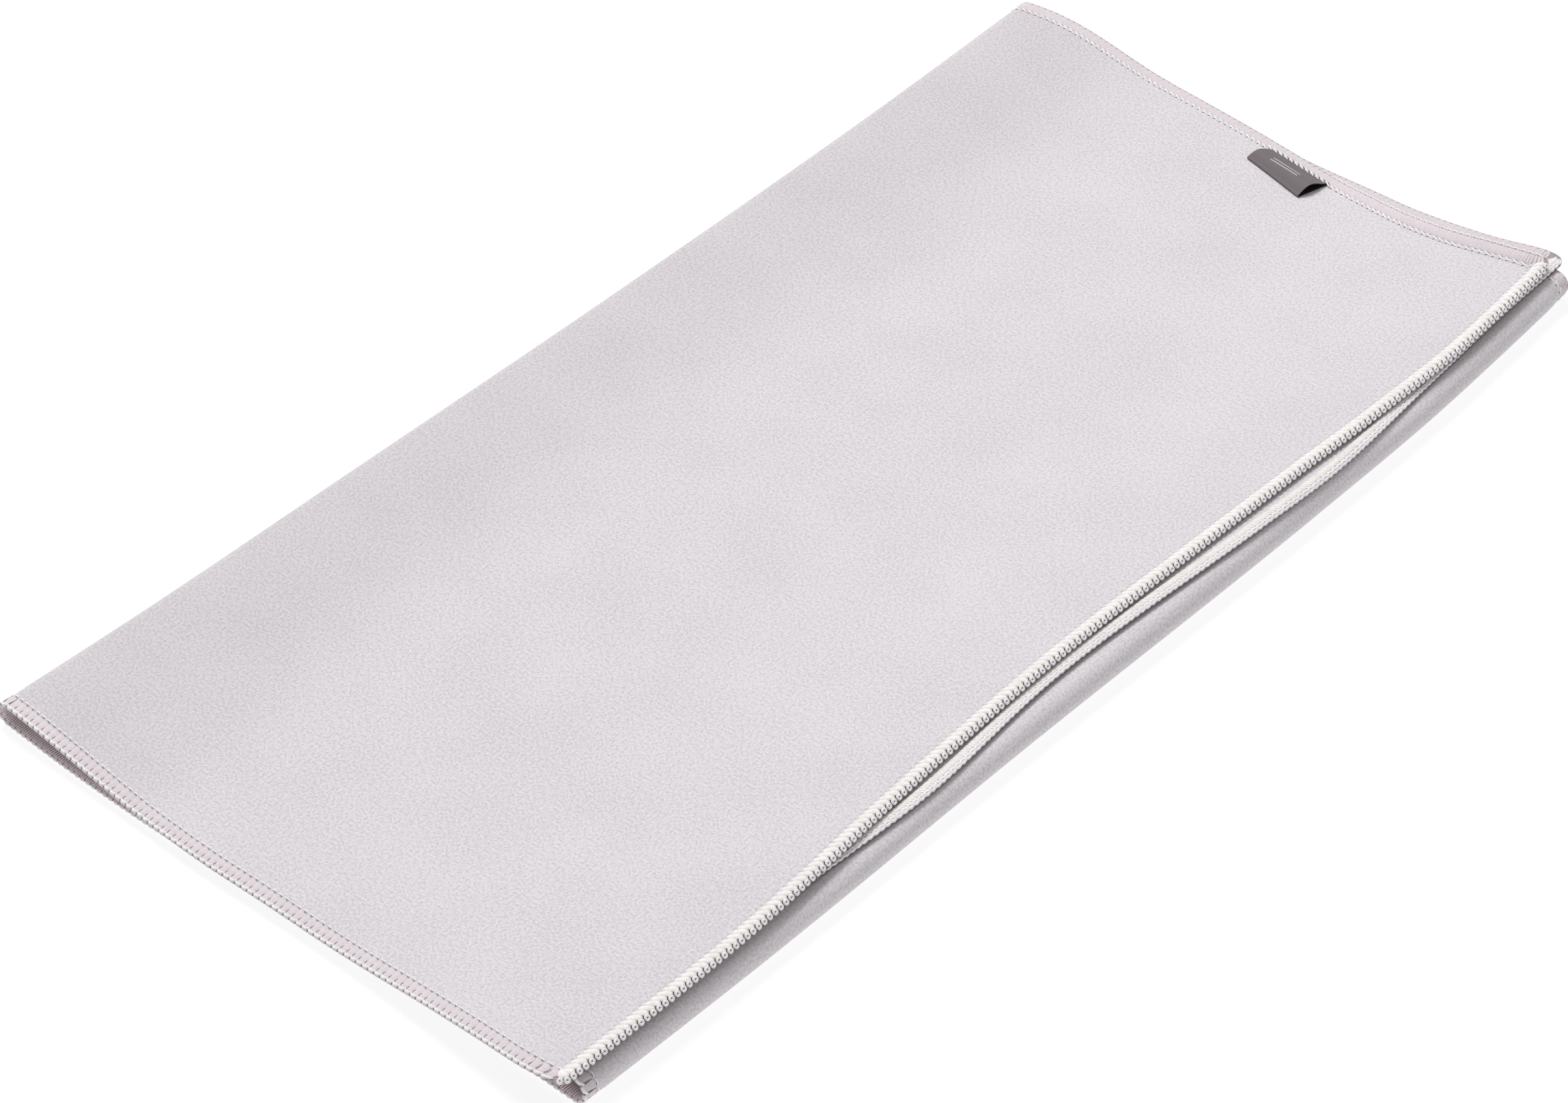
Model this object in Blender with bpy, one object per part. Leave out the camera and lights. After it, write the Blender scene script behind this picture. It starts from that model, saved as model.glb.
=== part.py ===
"""Quick-dry towel folded in four, lying flat.

One sheet of suede microfibre is folded in half about the front fold, then in half again about the left
folds. Going along the cloth from one short end to the other it is: top layer, outer fold, bottom layer,
front fold, third layer, inner fold, second layer. Metres, +Z up. The origin is under the middle of the
package, +X points from the left folds to the front fold, and +Y runs along the folds to the label end.
"""

import math

import bmesh
import bpy
from mathutils import Vector

# The folded package
PACKAGE_LENGTH = 0.600
PACKAGE_WIDTH = 0.300
CLOTH = 0.0011
LAYER_PITCH = 0.0015

# Turn radii, measured to the middle of the cloth
OUTER_TURN = 0.0046
INNER_TURN = OUTER_TURN - LAYER_PITCH
FRONT_TURN = 0.0052

# How far each free edge stops short of the front of the package
TOP_SETBACK = 0.009
SECOND_SETBACK = 0.004

# Stretches over which the layers come down from the left turn and climb over the front turn
LEFT_SLOPE = 0.085
FRONT_SLOPE = 0.125

# Overlocked edges: the long sides of the sheet, and its short ends, where the thread is thicker
HEM_WIDTH = 0.0054
END_STITCH_WIDTH = 0.0055
END_STITCH = 0.0015

# Woven side label, a ribbon folded in a loop
LABEL_WIDTH = 0.032
LABEL_REACH = 0.014
LABEL_CENTRE_X = 0.011
RIBBON = 0.00045
LABEL_ROOT_GAP = 0.0002
LABEL_TURN = 0.0008
LABEL_ARCH = 0.0018

GAP = 0.0003
END_STITCH_GAP = 0.0004
ARC_STEPS = 12
SLOPE_STEPS = 8

HALF_LENGTH = PACKAGE_LENGTH / 2
HALF_WIDTH = PACKAGE_WIDTH / 2
CLOTH_END = HALF_LENGTH - HEM_WIDTH - GAP
LEFT_CENTRE = -HALF_WIDTH + OUTER_TURN + CLOTH / 2
LEFT_AXIS_Z = OUTER_TURN + CLOTH / 2
FRONT_CENTRE = HALF_WIDTH - FRONT_TURN - CLOTH / 2
FRONT_AXIS_Z = FRONT_TURN + CLOTH / 2
FRONT_TOP = FRONT_AXIS_Z + FRONT_TURN
SECOND_RISE = FRONT_TOP + CLOTH / 2 + END_STITCH_GAP + END_STITCH / 2
TOP_RISE = SECOND_RISE + END_STITCH + GAP
THIRD_LOW = LEFT_AXIS_Z - INNER_TURN
SECOND_LOW = THIRD_LOW + LAYER_PITCH
TOP_LOW = SECOND_LOW + LAYER_PITCH

# The cloth of both left turns opens out flat, so the fold's axis lies half its mean length further out
OPENING_X = LEFT_CENTRE - math.pi * (OUTER_TURN + INNER_TURN) / 4

CLOTH_COLOUR = (0.75, 0.715, 0.742)
HEM_COLOUR = (0.74, 0.658, 0.694)
THREAD_COLOUR = (0.85, 0.825, 0.845)
LABEL_COLOUR = (0.16, 0.135, 0.14)

ALONG_Y = Vector((0, 1, 0))
ALONG_X = Vector((1, 0, 0))


def clear_scene():
    """Remove whatever the scene holds."""
    for thing in list(bpy.data.objects):
        bpy.data.objects.remove(thing, do_unlink=True)


def make_material(name, colour, roughness):
    """A plain Principled material."""
    material = bpy.data.materials.new(name)
    material.use_nodes = True
    shader = material.node_tree.nodes["Principled BSDF"]
    shader.inputs["Base Color"].default_value = (*colour, 1)
    shader.inputs["Roughness"].default_value = roughness
    shader.inputs["Metallic"].default_value = 0
    return material


def make_axis(name, location, parent=None):
    """An empty on a joint's axis, which carries the pieces that turn about it."""
    axis = bpy.data.objects.new(name, None)
    axis.location = location
    if parent:
        axis.parent = parent
        axis.location = Vector(location) - parent.location
    bpy.context.scene.collection.objects.link(axis)
    return axis


def make_sheet(name, midline, width, thickness, colour, parent=None):
    """A sheet swept from its midline along the vector width and thickened evenly to both sides."""
    origin = parent.matrix_world.translation if parent else Vector()
    mesh = bpy.data.meshes.new(name)
    bm = bmesh.new()
    points = [bm.verts.new(point - origin) for point in midline]
    edges = [bm.edges.new(pair) for pair in zip(points, points[1:])]
    swept = bmesh.ops.extrude_edge_only(bm, edges=edges)["geom"]
    moved = [item for item in swept if isinstance(item, bmesh.types.BMVert)]
    bmesh.ops.translate(bm, verts=moved, vec=width)
    bm.to_mesh(mesh)
    bm.free()
    sheet = bpy.data.objects.new(name, mesh)
    sheet.parent = parent
    bpy.context.scene.collection.objects.link(sheet)
    solid = sheet.modifiers.new("thickness", "SOLIDIFY")
    solid.thickness = thickness
    solid.offset = 0
    solid.use_even_offset = True
    mesh.materials.append(make_material(name, colour, 0.9))
    mesh.shade_smooth()
    mesh.set_sharp_from_angle(angle=math.radians(40))
    return sheet


def smooth(share):
    """0 to 1 with level ends."""
    share = min(1, max(0, share))
    return share * share * (3 - 2 * share)


def drape(low, left, front, x):
    """Height at x of a layer that starts at left, settles to low, and climbs to front."""
    settled = smooth((x - LEFT_CENTRE) / LEFT_SLOPE)
    climbed = smooth((x - FRONT_CENTRE + FRONT_SLOPE) / FRONT_SLOPE)
    return low + (left - low) * (1 - settled) + (front - low) * climbed


def layer_midline(low, left, front, end, start=LEFT_CENTRE + GAP / 2):
    """A layer's midline from start to the x where it ends, with points only where it bends."""
    shares = [i / SLOPE_STEPS for i in range(SLOPE_STEPS + 1)]
    settling = [LEFT_CENTRE + LEFT_SLOPE * share for share in shares]
    climbing = [FRONT_CENTRE - FRONT_SLOPE * (1 - share) for share in shares]
    inner = [x for x in settling + climbing if start + GAP < x < end - GAP]
    return [(x, drape(low, left, front, x)) for x in [start, *inner, end]]


def turn_midline(centre_x, centre_z, radius, outward):
    """Half a circle that opens away from the direction outward, which is 1 or -1 along X."""
    margin = GAP / 2 / radius
    first = -math.pi / 2 + margin
    step = (math.pi - 2 * margin) / ARC_STEPS
    angles = [first + step * i for i in range(ARC_STEPS + 1)]
    return [
        (centre_x + outward * radius * math.cos(a), centre_z + radius * math.sin(a))
        for a in angles
    ]


def at_y(midline, y):
    """A midline in the XZ plane as points at y."""
    return [Vector((x, y, z)) for x, z in midline]


def trimmed(low, left, front, end):
    """A layer's midline up to where its end stitching starts, and the stretch that the stitching covers."""
    cloth_end = end - END_STITCH_WIDTH
    cloth = layer_midline(low, left, front, cloth_end - GAP)
    stitched = layer_midline(low, left, front, end, start=cloth_end)
    return cloth, stitched


def build_cloth(name, midline, parent=None):
    """A stretch of cloth between the two overlocked sides."""
    make_sheet(name, at_y(midline, -CLOTH_END), ALONG_Y * 2 * CLOTH_END, CLOTH, CLOTH_COLOUR, parent)


def build_hems(name, midline, parent=None):
    """The overlocked strips at the near and far sides of a stretch of cloth."""
    for side, y in (("near", -HALF_LENGTH), ("far", HALF_LENGTH - HEM_WIDTH)):
        full_name = f"{side}_hem_{name}"
        make_sheet(full_name, at_y(midline, y), ALONG_Y * HEM_WIDTH, CLOTH, HEM_COLOUR, parent)


def build_end_stitch(name, midline, parent):
    """The thick overlock along a short end of the sheet."""
    make_sheet(name, at_y(midline, -CLOTH_END), ALONG_Y * 2 * CLOTH_END, END_STITCH, THREAD_COLOUR, parent)


def build_free_layer(name, heights, end, parent):
    """A layer with a free edge at x = end: its cloth, its side hems and its end stitching."""
    cloth, stitched = trimmed(*heights, end)
    build_cloth(f"{name}_layer", cloth, parent)
    build_end_stitch(f"{name}_edge_stitch", stitched, parent)
    build_hems(f"{name}_layer", layer_midline(*heights, end), parent)


def build_held_layer(name, heights):
    """A layer that runs on into the front fold."""
    midline = layer_midline(*heights, FRONT_CENTRE - GAP / 2)
    build_cloth(f"{name}_layer", midline)
    build_hems(f"{name}_layer", midline)


def build_turn(name, centre_x, centre_z, radius, outward):
    """A fold: half a tube of cloth with its two side hems."""
    midline = turn_midline(centre_x, centre_z, radius, outward)
    build_cloth(name, midline)
    build_hems(name, midline)


def label_midline(root_y, base_z):
    """The ribbon's middle: out along the cloth, round the free end, and back to the root in an arch."""
    turn_y = root_y - LABEL_REACH + LABEL_TURN + RIBBON / 2
    low_z = base_z + RIBBON / 2
    high_z = low_z + 2 * LABEL_TURN
    root_z = low_z + RIBBON + LABEL_ROOT_GAP
    turned = [math.pi / ARC_STEPS * i for i in range(ARC_STEPS + 1)]
    around = [
        (turn_y - LABEL_TURN * math.sin(a), low_z + LABEL_TURN * (1 - math.cos(a)))
        for a in turned
    ]
    shares = [i / SLOPE_STEPS for i in range(1, SLOPE_STEPS + 1)]
    back = [
        (
            turn_y + (root_y - turn_y) * s,
            high_z + (root_z - high_z) * s + LABEL_ARCH * math.sin(math.pi * s),
        )
        for s in shares
    ]
    return [(root_y, low_z), *around, *back]


def build_label(upper):
    """The woven label, which flips about its sewn root at the far hem."""
    root_y = CLOTH_END
    base_z = TOP_LOW + CLOTH / 2 + GAP
    axis_z = base_z + RIBBON + LABEL_ROOT_GAP / 2
    flip = make_axis("label_flip_axis", (LABEL_CENTRE_X, root_y, axis_z), upper)
    bpy.context.view_layer.update()
    first_x = LABEL_CENTRE_X - LABEL_WIDTH / 2
    points = [Vector((first_x, y, z)) for y, z in label_midline(root_y, base_z)]
    make_sheet("side_label", points, ALONG_X * LABEL_WIDTH, RIBBON, LABEL_COLOUR, flip)


def build_towel():
    """The whole folded towel."""
    clear_scene()
    flat = CLOTH / 2
    build_held_layer("bottom", (flat, flat, flat))
    build_held_layer("third", (THIRD_LOW, THIRD_LOW, FRONT_TOP))
    build_turn("front_fold", FRONT_CENTRE, FRONT_AXIS_Z, FRONT_TURN, 1)
    build_turn("outer_fold", LEFT_CENTRE, LEFT_AXIS_Z, OUTER_TURN, -1)
    build_turn("inner_fold", LEFT_CENTRE, LEFT_AXIS_Z, INNER_TURN, -1)
    upper = make_axis("quarter_fold_axis", (OPENING_X, 0, LEFT_AXIS_Z))
    bpy.context.view_layer.update()
    second = (SECOND_LOW, LEFT_AXIS_Z + INNER_TURN, SECOND_RISE)
    top = (TOP_LOW, LEFT_AXIS_Z + OUTER_TURN, TOP_RISE)
    build_free_layer("second", second, HALF_WIDTH - SECOND_SETBACK, upper)
    build_free_layer("top", top, HALF_WIDTH - TOP_SETBACK, upper)
    build_label(upper)


build_towel()
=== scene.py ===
"""Looks of the folded quick-dry towel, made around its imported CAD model.

The cloth is one sheet, swept through its folds: top layer, outer fold, bottom layer, front fold, third
layer, inner fold, second layer. It is cut into five pieces, because the quarter fold bends two of them.
Overlock thread is laid along all four edges, stitch by stitch, and a woven ribbon label sits at the far hem.
Lengths are in millimetres until a mesh is made. Side A of the cloth is the outside of the folded package.
"""

import math

import bpy
import numpy as np
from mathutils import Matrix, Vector


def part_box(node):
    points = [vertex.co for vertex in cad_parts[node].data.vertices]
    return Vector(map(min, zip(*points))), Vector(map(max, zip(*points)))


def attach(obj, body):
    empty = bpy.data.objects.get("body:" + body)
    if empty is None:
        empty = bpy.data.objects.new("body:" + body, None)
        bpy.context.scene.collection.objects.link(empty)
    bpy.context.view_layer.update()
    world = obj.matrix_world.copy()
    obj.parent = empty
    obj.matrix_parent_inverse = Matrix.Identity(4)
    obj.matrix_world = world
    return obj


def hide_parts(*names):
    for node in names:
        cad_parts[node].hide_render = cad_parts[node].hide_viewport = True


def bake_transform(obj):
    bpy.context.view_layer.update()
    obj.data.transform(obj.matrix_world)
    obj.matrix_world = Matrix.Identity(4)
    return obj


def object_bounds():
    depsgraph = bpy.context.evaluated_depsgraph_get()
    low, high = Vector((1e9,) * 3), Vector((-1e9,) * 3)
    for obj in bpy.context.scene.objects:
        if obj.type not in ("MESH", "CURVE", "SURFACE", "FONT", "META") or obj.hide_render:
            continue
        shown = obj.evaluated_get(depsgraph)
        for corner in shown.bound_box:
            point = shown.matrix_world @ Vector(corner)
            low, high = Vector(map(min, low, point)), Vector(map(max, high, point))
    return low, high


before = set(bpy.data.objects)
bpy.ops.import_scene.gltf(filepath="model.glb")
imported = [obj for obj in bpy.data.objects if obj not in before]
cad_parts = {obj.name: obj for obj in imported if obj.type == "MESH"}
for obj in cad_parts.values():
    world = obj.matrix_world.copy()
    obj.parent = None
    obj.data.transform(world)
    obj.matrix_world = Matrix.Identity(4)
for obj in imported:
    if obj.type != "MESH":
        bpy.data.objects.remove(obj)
cad_low, cad_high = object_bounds()

MM = 0.001


def corners(node):
    """Lowest and highest corner of a CAD node."""
    low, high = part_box(node)
    return np.array(low) / MM, np.array(high) / MM


# What the CAD model says
bottom_low, bottom_high = corners("bottom_layer")
outer_low, outer_high = corners("outer_fold")
inner_low = corners("inner_fold")[0]
front_low, front_high = corners("front_fold")
CLOTH = bottom_high[2] - bottom_low[2]
HALF = CLOTH / 2
END_Y = cad_high[1] / MM
LEFT_X = outer_low[0] + HALF
FRONT_X = front_high[0] - HALF
OUTER_TURN = (outer_high[2] - outer_low[2]) / 2 - HALF
FRONT_TURN = (front_high[2] - front_low[2]) / 2 - HALF
LAYER_PITCH = inner_low[0] - outer_low[0]
TOP_EDGE_X = corners("top_edge_stitch")[1][0]
SECOND_EDGE_X = corners("second_edge_stitch")[1][0]
BOTTOM_Z = HALF
THIRD_Z = corners("third_layer")[0][2] + HALF
SECOND_Z = corners("second_layer")[0][2] + HALF
TOP_Z = corners("top_layer")[0][2] + HALF
LABEL_LOW, LABEL_HIGH = corners("side_label")

# Stretches over which the layers settle from the left folds and climb over the front fold
LEFT_SLOPE = 85
FRONT_SLOPE = 125

# The real cloth's departures from the straight package. Places along Y run from -1, near, to 1, far, and
# places along X from 0, at the left folds, to 1, at the front fold.
LEFT_BOW = ((-1, -2.3), (-0.78, -0.2), (-0.4, 1.0), (0.12, 2.5), (0.7, 1.8), (1, -0.6))
FRONT_BOW = ((-1, -1.4), (-0.7, 0.7), (-0.2, 1.0), (0.4, 3.0), (0.67, 2.1), (0.84, -0.5), (1, -3.6))
TOP_EDGE_BOW = ((-1, 4.4), (-0.7, 5.2), (-0.3, -1.9), (-0.1, -3.4), (0.38, -0.4), (0.75, 3.2), (1, -1.5))
SECOND_EDGE_BOW = (
    (-1, -5.5), (-0.59, -3.3), (-0.36, 0), (-0.12, -4.3), (0.3, 1.9), (0.43, 3.4), (0.7, -1.2), (0.85, -4.3), (1, -6)
)
OUTER_TURN_SWELL = ((-1, 0.5), (-0.6, 0), (0, -0.5), (0.6, -0.3), (1, 0))
FRONT_TURN_SWELL = ((-1, -0.25), (-0.4, 0.3), (0, 0.7), (1, 0.75))
TOP_NEAR = (
    (0, 2), (0.17, 4.2), (0.3, 5.8), (0.38, 6.2), (0.46, 5.6), (0.6, 5.2), (0.73, 5.6), (0.82, 6.6),
    (0.9, 7.2), (0.96, 5.7), (1, 4.5)
)
TOP_FAR = (
    (0, 1), (0.063, 4.5), (0.26, 3.2), (0.5, -1), (0.64, -6.5), (0.76, -11.3), (0.81, -11.5), (0.87, -9),
    (0.95, -5), (1, -4)
)
TOP_FAR_CURL = ((0, 0), (0.6, 0), (0.72, 1.2), (0.82, 2.2), (1, 2.4))
SECOND_NEAR = ((0, -3), (1, -1))
SECOND_FAR = ((0, -2), (0.5, -1.2), (0.64, -0.4), (0.76, -2.2), (0.87, 0), (0.95, 5.3), (1, 5.2))
THIRD_NEAR = ((0, -3), (1, -3))
THIRD_FAR = ((0, -2), (1, -1))
BOTTOM_NEAR = (
    (0, 2), (0.12, 3.4), (0.3, 3.4), (0.4, 2.2), (0.48, 0.2), (0.57, -1.4), (0.72, -2.4), (0.85, -2.2), (1, -2)
)
BOTTOM_FAR = ((0, 0), (1, 0))
CORNER_RADIUS = 5

# Room that each thick end stitching takes above what it lies on
END_STITCH_RISE = 1.9
STACKED_EXTRA = 0.9
HEM_LIFT = 0.95

# Over what distance the bottom layer's hem lifts and the top layer's far hem curls
HEM_SLOPE_START = 4
HEM_SLOPE = 9

# The woven label. Its root lies along the far hem, and pairs are for its two ends across the ribbon.
LABEL_WIDTH = LABEL_HIGH[0] - LABEL_LOW[0]
LABEL_SHIFT = 2.4
LABEL_MIDDLE = (LABEL_LOW[0] + LABEL_HIGH[0]) / 2 + LABEL_SHIFT
LABEL_ROOT = 5.4
LABEL_REACH = (12.0, 15.3)
LABEL_SKEW = (-5.2, -4.6)
LABEL_ARCH = (2.3, 3.1)
LABEL_TURN = 0.42
RIBBON = 0.42

# How far needle threads rise to pass over the label
LABEL_THICKNESS = 1.0

# Two plain woven lines, by their distance along the ribbon, and half their length
MARK_LINES = (8.4, 10.0)
MARK_HALF_LENGTH = 7.4

# Mesh cells
LABEL_PLY_STEPS = 14
LABEL_TURN_STEPS = 8
LABEL_COLUMNS = 28
EDGE_STEPS = (0, 0.6, 1.3, 2.2, 3.3, 4.6, 6.2, 8, 10.5, 14, 19)
ROWS_BETWEEN = 72
PANEL_COLUMNS = 42
TURN_STEPS = 20
SEAM_COLUMNS = 3

PITCH = 3.1
NEEDLE_LINE = 6.1

# Columns that the ropes take in beyond each corner, and how far the side stitches keep from it
NEAR_CORNER_COLUMNS = 4
FAR_CORNER_COLUMNS = 1
CORNER_GAP = {"near": 2.2, "far": 1.0}


def smooth(share):
    """0 to 1 with level ends."""
    share = np.clip(share, 0, 1)
    return share * share * (3 - 2 * share)


def through(points, at):
    """A smooth curve through a few points, read at each value of at."""
    place, value = np.array(points, float).T
    slope = np.gradient(value, place)
    at = np.clip(at, place[0], place[-1])
    i = np.clip(np.searchsorted(place, at, side="right") - 1, 0, len(place) - 2)
    width = place[i + 1] - place[i]
    t = (at - place[i]) / width
    blend = t * t * (3 - 2 * t)
    bend = width * t * (1 - t) * (slope[i] * (1 - t) - slope[i + 1] * t)
    return value[i] * (1 - blend) + value[i + 1] * blend + bend


def unit(vectors):
    """Vectors of length 1."""
    return vectors / np.linalg.norm(vectors, axis=-1, keepdims=True)


# ---------------------------------------------------------------- the sheet's shape


def outer_radius(y):
    return OUTER_TURN + through(OUTER_TURN_SWELL, y / END_Y)


def front_radius(y):
    return FRONT_TURN + through(FRONT_TURN_SWELL, y / END_Y)


def left_centre(y):
    return LEFT_X + through(LEFT_BOW, y / END_Y) + outer_radius(y)


def front_centre(y):
    return FRONT_X + through(FRONT_BOW, y / END_Y) - front_radius(y)


def top_edge(y):
    return TOP_EDGE_X + through(TOP_EDGE_BOW, y / END_Y)


def second_edge(y):
    return SECOND_EDGE_X + through(SECOND_EDGE_BOW, y / END_Y)


def drape(low, left, front, x, y):
    """Height of a layer that starts at left over the turn, settles to low, and climbs to front."""
    settled = smooth((x - left_centre(y)) / LEFT_SLOPE)
    climbed = smooth((x - front_centre(y) + FRONT_SLOPE) / FRONT_SLOPE)
    return low + (left - low) * (1 - settled) + (front - low) * climbed


def droop(x, y, radius):
    """How far a layer that lies over the front fold comes down beyond the fold's crest."""
    beyond = np.clip(x - front_centre(y), 0, 0.9 * radius)
    return radius - np.sqrt(radius**2 - beyond**2)


def bottom_height(x, y):
    """The bottom layer lies flat, lifted at its hems by the thread under it."""
    inside = END_Y - np.abs(y)
    return BOTTOM_Z + HEM_LIFT * (1 - smooth((inside - HEM_SLOPE_START) / HEM_SLOPE)) + 0 * x


def third_height(x, y):
    crest = BOTTOM_Z + 2 * front_radius(y)
    return drape(THIRD_Z, THIRD_Z, crest, x, y)


def second_crest(y):
    return BOTTOM_Z + 2 * front_radius(y) + END_STITCH_RISE


def second_height(x, y):
    left = BOTTOM_Z + 2 * outer_radius(y) - LAYER_PITCH
    rise = second_crest(y)
    return drape(SECOND_Z, left, rise, x, y) - droop(x, y, front_radius(y) + END_STITCH_RISE)


def top_height(x, y):
    """The top layer lies over the second one's stitching, and its far hem curls up towards the front."""
    left = BOTTOM_Z + 2 * outer_radius(y)
    stacked = 1 - smooth((second_edge(y) - top_edge(y) - 2) / 5)
    rise = second_crest(y) + END_STITCH_RISE + STACKED_EXTRA * stacked
    share = (x - LEFT_X) / (FRONT_X - LEFT_X)
    inside = END_Y + through(TOP_FAR, share) - y
    curl = through(TOP_FAR_CURL, share) * (1 - smooth(inside / HEM_SLOPE))
    return drape(TOP_Z, left, rise, x, y) + curl


def rows(near, far):
    """Y of every row of the grid, for columns that end at near and far."""
    steps = np.array(EDGE_STEPS)[:, None]
    between = np.linspace(0, 1, ROWS_BETWEEN + 2)[1:-1, None]
    first, last = near + EDGE_STEPS[-1], far - EDGE_STEPS[-1]
    return np.vstack([near + steps, first + (last - first) * between, (far - steps)[::-1]])


def side_ends(near_outline, far_outline, share):
    """Y of the near and far ends of columns at a share of the package's width."""
    return -END_Y - through(near_outline, share), END_Y + through(far_outline, share)


def corner_pull(y, near, far):
    """How far a free edge is pulled in, towards its rounded corners."""
    inside = np.minimum(y - near, far - y)
    left_over = np.clip(CORNER_RADIUS - inside, 0, CORNER_RADIUS)
    return CORNER_RADIUS - np.sqrt(CORNER_RADIUS**2 - left_over**2)


def free_layer(edge, height, outlines):
    """A layer from its free edge to the left turn."""
    between = np.linspace(0, 1, PANEL_COLUMNS)
    width = FRONT_X - LEFT_X
    reach = edge(0.0) - EDGE_STEPS[-1] - left_centre(0.0)
    inward = np.concatenate([EDGE_STEPS[:-1], EDGE_STEPS[-1] + reach * between])
    share = (edge(0.0) - inward - LEFT_X) / width
    near, far = side_ends(*outlines, share)
    y = rows(near, far)
    start = edge(y)
    turn_x = left_centre(y)
    in_edge = np.clip(inward / EDGE_STEPS[-1], 0, 1)
    along = np.clip((inward - EDGE_STEPS[-1]) / reach, 0, 1)
    x = start - EDGE_STEPS[-1] * in_edge + (turn_x - start + EDGE_STEPS[-1]) * along
    x = x - corner_pull(y, near, far) * (1 - in_edge) ** 2
    return np.stack([x, y, height(x, y)], axis=-1)


def held_layer(height, outlines):
    """A layer between the left turn and the front turn, from left to right."""
    share = np.linspace(0, 1, PANEL_COLUMNS + 10)
    y = rows(*side_ends(*outlines, share))
    first, last = left_centre(y), front_centre(y)
    x = first + (last - first) * share
    return np.stack([x, y, height(x, y)], axis=-1)


def turn(first, last, outward):
    """Half a circle of cloth from the column first to the column last."""
    angle = np.linspace(0, math.pi, TURN_STEPS + 1)[1:-1]
    middle = (first + last)[:, None] / 2
    arm = (first - last)[:, None] / 2
    radius = np.linalg.norm(arm[..., [0, 2]], axis=-1)
    y = first[:, None, 1] + (last - first)[:, None, 1] * angle / math.pi
    points = middle + arm * np.cos(angle)[:, None]
    points[..., 0] += outward * radius * np.sin(angle)
    points[..., 1] = y
    return points


def make_sheet_grid():
    """The middle of the whole sheet as a grid of points, and the column where each stretch of it starts."""
    top = free_layer(top_edge, top_height, (TOP_NEAR, TOP_FAR))
    bottom = held_layer(bottom_height, (BOTTOM_NEAR, BOTTOM_FAR))
    third = held_layer(third_height, (THIRD_NEAR, THIRD_FAR))[:, ::-1]
    second = free_layer(second_edge, second_height, (SECOND_NEAR, SECOND_FAR))[:, ::-1]
    outer = turn(top[:, -1], bottom[:, 0], -1)
    front = turn(bottom[:, -1], third[:, 0], 1)
    inner = turn(third[:, -1], second[:, 0], -1)
    parts = [top, outer, bottom, front, third, inner, second]
    starts = np.cumsum([0] + [part.shape[1] for part in parts])
    return np.concatenate(parts, axis=1), starts


grid, starts = make_sheet_grid()
ahead = unit(np.gradient(grid, axis=1))
across = unit(np.gradient(grid, axis=0))
normal = unit(np.cross(across, ahead))
column_steps = np.linalg.norm(np.diff(grid, axis=1), axis=-1)
run = np.concatenate([np.zeros((len(grid), 1)), np.cumsum(column_steps, axis=1)], axis=1)

# Columns at which the sheet is cut: a little way into the layers beyond each left turn
CUTS = (
    0,
    starts[1] - SEAM_COLUMNS,
    starts[2] + SEAM_COLUMNS,
    starts[5] - SEAM_COLUMNS,
    starts[6] + SEAM_COLUMNS,
    grid.shape[1] - 1,
)
STRETCHES = ("top", "outer_turn", "lower", "inner_turn", "second")


# ---------------------------------------------------------------- materials


class Shader:
    """A Principled material, and short ways to add the nodes behind it."""

    def __init__(self, name, roughness, sheen=0.0, specular=0.3):
        self.material = bpy.data.materials.new(name)
        self.material.use_nodes = True
        self.tree = self.material.node_tree
        self.principled = self.tree.nodes["Principled BSDF"]
        self.principled.inputs["Roughness"].default_value = roughness
        self.principled.inputs["Specular IOR Level"].default_value = specular
        self.principled.inputs["Sheen Weight"].default_value = sheen
        self.principled.inputs["Sheen Roughness"].default_value = 0.6

    def put(self, socket, value):
        """Links a socket to another node's output, or sets it to a constant."""
        if isinstance(value, bpy.types.NodeSocket):
            self.tree.links.new(value, socket)
        else:
            socket.default_value = value

    def node(self, kind, settings, *values, **named):
        """A new node with its settings, its first inputs and its named inputs."""
        made = self.tree.nodes.new(kind)
        for key, value in settings.items():
            setattr(made, key, value)
        for i, value in enumerate(values):
            self.put(made.inputs[i], value)
        for key, value in named.items():
            self.put(made.inputs[key.replace("_", " ")], value)
        return made

    def math(self, operation, *values):
        return self.node("ShaderNodeMath", {"operation": operation}, *values).outputs[0]

    def attribute(self, name, output="Fac"):
        return self.node("ShaderNodeAttribute", {"attribute_name": name}).outputs[output]

    def noise(self, where, scale, detail=2.0, rough=0.5):
        made = self.node("ShaderNodeTexNoise", {}, Vector=where, Scale=scale, Detail=detail, Roughness=rough)
        return made.outputs["Fac"]

    def span(self, value, low, high, first=0.0, last=1.0):
        """Value from low to high as first to last, smoothly."""
        made = self.node(
            "ShaderNodeMapRange", {"interpolation_type": "SMOOTHSTEP"}, value, low, high, first, last
        )
        return made.outputs[0]

    def mix(self, share, first, last, how="MIX"):
        """Two colours mixed."""
        made = self.node("ShaderNodeMix", {"data_type": "RGBA", "blend_type": how})
        self.put(made.inputs[0], share)
        for socket, value in ((made.inputs[6], first), (made.inputs[7], last)):
            self.put(socket, value if isinstance(value, bpy.types.NodeSocket) else (*value, 1))
        return made.outputs[2]

    def finish(self, colour, height, distance, strength=1.0):
        """The colour, and a bump whose height is in metres times distance."""
        if not isinstance(colour, bpy.types.NodeSocket):
            colour = (*colour, 1)
        self.put(self.principled.inputs["Base Color"], colour)
        bump = self.node("ShaderNodeBump", {}, Strength=strength, Distance=distance, Height=height)
        self.put(self.principled.inputs["Normal"], bump.outputs[0])
        return self.material


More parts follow.
